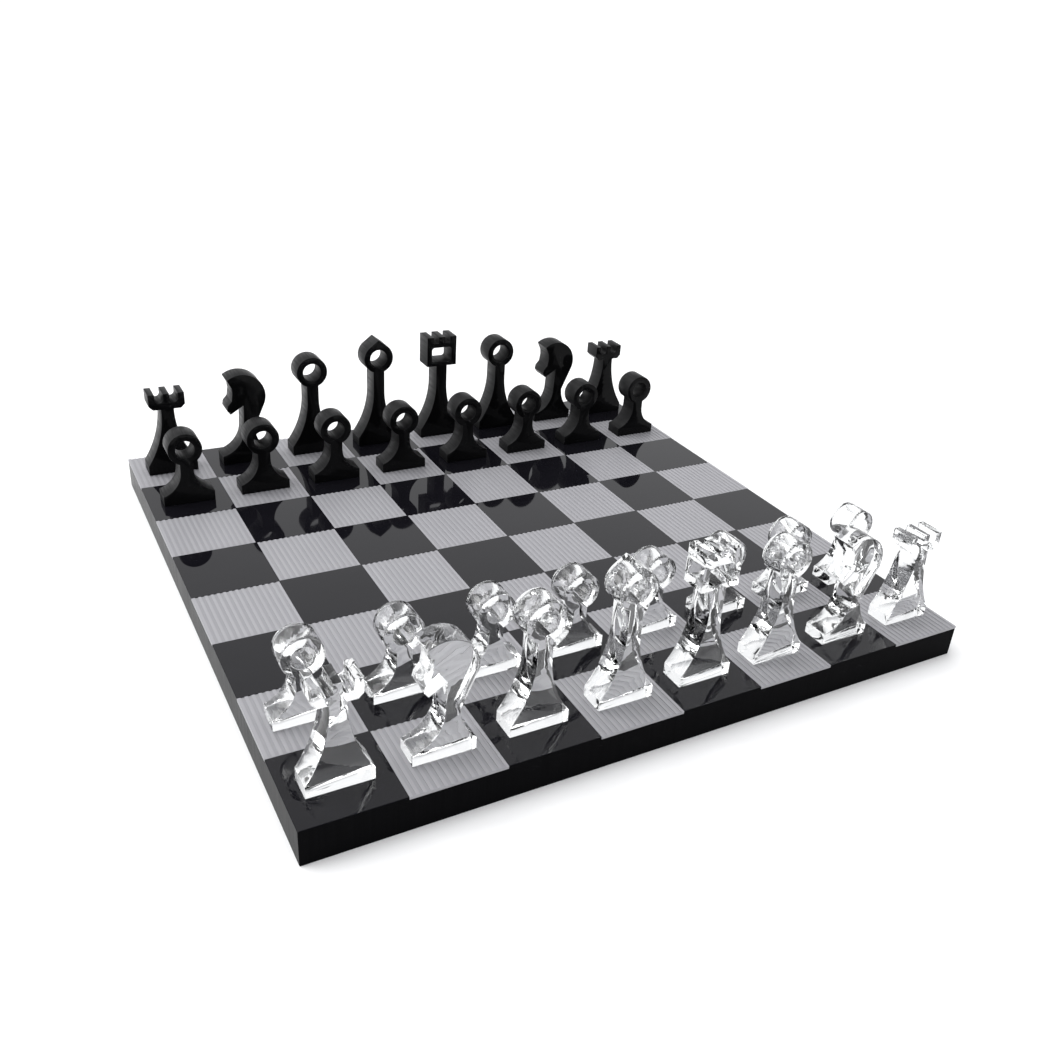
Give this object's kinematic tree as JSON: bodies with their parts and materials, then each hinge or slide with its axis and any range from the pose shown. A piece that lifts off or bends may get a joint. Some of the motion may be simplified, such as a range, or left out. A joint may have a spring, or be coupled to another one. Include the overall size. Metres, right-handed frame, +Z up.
{
  "type": "chess set with board",
  "caption": "Flat-cut acrylic chessmen, one side clear and one side black, in their opening places on a thick rimless board of gloss black and ribbed grey squares.",
  "frame": {"origin": "the middle of the board's underside", "axes": "+X along the ranks from the a-file to the h-file, +Y along the files from rank 1 (clear side) to rank 8 (black side), +Z up out of the board"},
  "size_m": [0.4, 0.4, 0.1013],
  "materials": {
    "black_board": "polished black acrylic sheet, mirror gloss on the top",
    "ribbed_inlay": "fine parallel ribs in light grey, satin",
    "clear_acrylic": "clear cast acrylic, polished faces and flame-polished edges",
    "black_acrylic": "black cast acrylic, polished"
  },
  "bodies": {
    "board": {"board_slab": "black_board", "light_tiles_rank_1": "ribbed_inlay", "light_tiles_rank_2": "ribbed_inlay", "light_tiles_rank_3": "ribbed_inlay", "light_tiles_rank_4": "ribbed_inlay", "light_tiles_rank_5": "ribbed_inlay", "light_tiles_rank_6": "ribbed_inlay", "light_tiles_rank_7": "ribbed_inlay", "light_tiles_rank_8": "ribbed_inlay"},
    "clear_rook_a1": {"clear_rook_a1": "clear_acrylic"},
    "clear_knight_b1": {"clear_knight_b1": "clear_acrylic"},
    "clear_bishop_c1": {"clear_bishop_c1": "clear_acrylic"},
    "clear_queen_d1": {"clear_queen_d1": "clear_acrylic"},
    "clear_king_e1": {"clear_king_e1": "clear_acrylic"},
    "clear_bishop_f1": {"clear_bishop_f1": "clear_acrylic"},
    "clear_knight_g1": {"clear_knight_g1": "clear_acrylic"},
    "clear_rook_h1": {"clear_rook_h1": "clear_acrylic"},
    "clear_pawn_a2": {"clear_pawn_a2": "clear_acrylic"},
    "clear_pawn_b2": {"clear_pawn_b2": "clear_acrylic"},
    "clear_pawn_c2": {"clear_pawn_c2": "clear_acrylic"},
    "clear_pawn_d2": {"clear_pawn_d2": "clear_acrylic"},
    "clear_pawn_e2": {"clear_pawn_e2": "clear_acrylic"},
    "clear_pawn_f2": {"clear_pawn_f2": "clear_acrylic"},
    "clear_pawn_g2": {"clear_pawn_g2": "clear_acrylic"},
    "clear_pawn_h2": {"clear_pawn_h2": "clear_acrylic"},
    "black_rook_a8": {"black_rook_a8": "black_acrylic"},
    "black_knight_b8": {"black_knight_b8": "black_acrylic"},
    "black_bishop_c8": {"black_bishop_c8": "black_acrylic"},
    "black_queen_d8": {"black_queen_d8": "black_acrylic"},
    "black_king_e8": {"black_king_e8": "black_acrylic"},
    "black_bishop_f8": {"black_bishop_f8": "black_acrylic"},
    "black_knight_g8": {"black_knight_g8": "black_acrylic"},
    "black_rook_h8": {"black_rook_h8": "black_acrylic"},
    "black_pawn_a7": {"black_pawn_a7": "black_acrylic"},
    "black_pawn_b7": {"black_pawn_b7": "black_acrylic"},
    "black_pawn_c7": {"black_pawn_c7": "black_acrylic"},
    "black_pawn_d7": {"black_pawn_d7": "black_acrylic"},
    "black_pawn_e7": {"black_pawn_e7": "black_acrylic"},
    "black_pawn_f7": {"black_pawn_f7": "black_acrylic"},
    "black_pawn_g7": {"black_pawn_g7": "black_acrylic"},
    "black_pawn_h7": {"black_pawn_h7": "black_acrylic"}
  },
  "joints": [
    {"name": "clear_rook_a1_lift", "type": "slide", "parent": "board", "child": "clear_rook_a1", "axis": [0, 0, 1], "range_m": [0, 0.15]},
    {"name": "clear_knight_b1_lift", "type": "slide", "parent": "board", "child": "clear_knight_b1", "axis": [0, 0, 1], "range_m": [0, 0.15]},
    {"name": "clear_bishop_c1_lift", "type": "slide", "parent": "board", "child": "clear_bishop_c1", "axis": [0, 0, 1], "range_m": [0, 0.15]},
    {"name": "clear_queen_d1_lift", "type": "slide", "parent": "board", "child": "clear_queen_d1", "axis": [0, 0, 1], "range_m": [0, 0.15]},
    {"name": "clear_king_e1_lift", "type": "slide", "parent": "board", "child": "clear_king_e1", "axis": [0, 0, 1], "range_m": [0, 0.15]},
    {"name": "clear_bishop_f1_lift", "type": "slide", "parent": "board", "child": "clear_bishop_f1", "axis": [0, 0, 1], "range_m": [0, 0.15]},
    {"name": "clear_knight_g1_lift", "type": "slide", "parent": "board", "child": "clear_knight_g1", "axis": [0, 0, 1], "range_m": [0, 0.15]},
    {"name": "clear_rook_h1_lift", "type": "slide", "parent": "board", "child": "clear_rook_h1", "axis": [0, 0, 1], "range_m": [0, 0.15]},
    {"name": "clear_pawn_a2_lift", "type": "slide", "parent": "board", "child": "clear_pawn_a2", "axis": [0, 0, 1], "range_m": [0, 0.15]},
    {"name": "clear_pawn_b2_lift", "type": "slide", "parent": "board", "child": "clear_pawn_b2", "axis": [0, 0, 1], "range_m": [0, 0.15]},
    {"name": "clear_pawn_c2_lift", "type": "slide", "parent": "board", "child": "clear_pawn_c2", "axis": [0, 0, 1], "range_m": [0, 0.15]},
    {"name": "clear_pawn_d2_lift", "type": "slide", "parent": "board", "child": "clear_pawn_d2", "axis": [0, 0, 1], "range_m": [0, 0.15]},
    {"name": "clear_pawn_e2_lift", "type": "slide", "parent": "board", "child": "clear_pawn_e2", "axis": [0, 0, 1], "range_m": [0, 0.15]},
    {"name": "clear_pawn_f2_lift", "type": "slide", "parent": "board", "child": "clear_pawn_f2", "axis": [0, 0, 1], "range_m": [0, 0.15]},
    {"name": "clear_pawn_g2_lift", "type": "slide", "parent": "board", "child": "clear_pawn_g2", "axis": [0, 0, 1], "range_m": [0, 0.15]},
    {"name": "clear_pawn_h2_lift", "type": "slide", "parent": "board", "child": "clear_pawn_h2", "axis": [0, 0, 1], "range_m": [0, 0.15]},
    {"name": "black_rook_a8_lift", "type": "slide", "parent": "board", "child": "black_rook_a8", "axis": [0, 0, 1], "range_m": [0, 0.15]},
    {"name": "black_knight_b8_lift", "type": "slide", "parent": "board", "child": "black_knight_b8", "axis": [0, 0, 1], "range_m": [0, 0.15]},
    {"name": "black_bishop_c8_lift", "type": "slide", "parent": "board", "child": "black_bishop_c8", "axis": [0, 0, 1], "range_m": [0, 0.15]},
    {"name": "black_queen_d8_lift", "type": "slide", "parent": "board", "child": "black_queen_d8", "axis": [0, 0, 1], "range_m": [0, 0.15]},
    {"name": "black_king_e8_lift", "type": "slide", "parent": "board", "child": "black_king_e8", "axis": [0, 0, 1], "range_m": [0, 0.15]},
    {"name": "black_bishop_f8_lift", "type": "slide", "parent": "board", "child": "black_bishop_f8", "axis": [0, 0, 1], "range_m": [0, 0.15]},
    {"name": "black_knight_g8_lift", "type": "slide", "parent": "board", "child": "black_knight_g8", "axis": [0, 0, 1], "range_m": [0, 0.15]},
    {"name": "black_rook_h8_lift", "type": "slide", "parent": "board", "child": "black_rook_h8", "axis": [0, 0, 1], "range_m": [0, 0.15]},
    {"name": "black_pawn_a7_lift", "type": "slide", "parent": "board", "child": "black_pawn_a7", "axis": [0, 0, 1], "range_m": [0, 0.15]},
    {"name": "black_pawn_b7_lift", "type": "slide", "parent": "board", "child": "black_pawn_b7", "axis": [0, 0, 1], "range_m": [0, 0.15]},
    {"name": "black_pawn_c7_lift", "type": "slide", "parent": "board", "child": "black_pawn_c7", "axis": [0, 0, 1], "range_m": [0, 0.15]},
    {"name": "black_pawn_d7_lift", "type": "slide", "parent": "board", "child": "black_pawn_d7", "axis": [0, 0, 1], "range_m": [0, 0.15]},
    {"name": "black_pawn_e7_lift", "type": "slide", "parent": "board", "child": "black_pawn_e7", "axis": [0, 0, 1], "range_m": [0, 0.15]},
    {"name": "black_pawn_f7_lift", "type": "slide", "parent": "board", "child": "black_pawn_f7", "axis": [0, 0, 1], "range_m": [0, 0.15]},
    {"name": "black_pawn_g7_lift", "type": "slide", "parent": "board", "child": "black_pawn_g7", "axis": [0, 0, 1], "range_m": [0, 0.15]},
    {"name": "black_pawn_h7_lift", "type": "slide", "parent": "board", "child": "black_pawn_h7", "axis": [0, 0, 1], "range_m": [0, 0.15]}
  ]
}
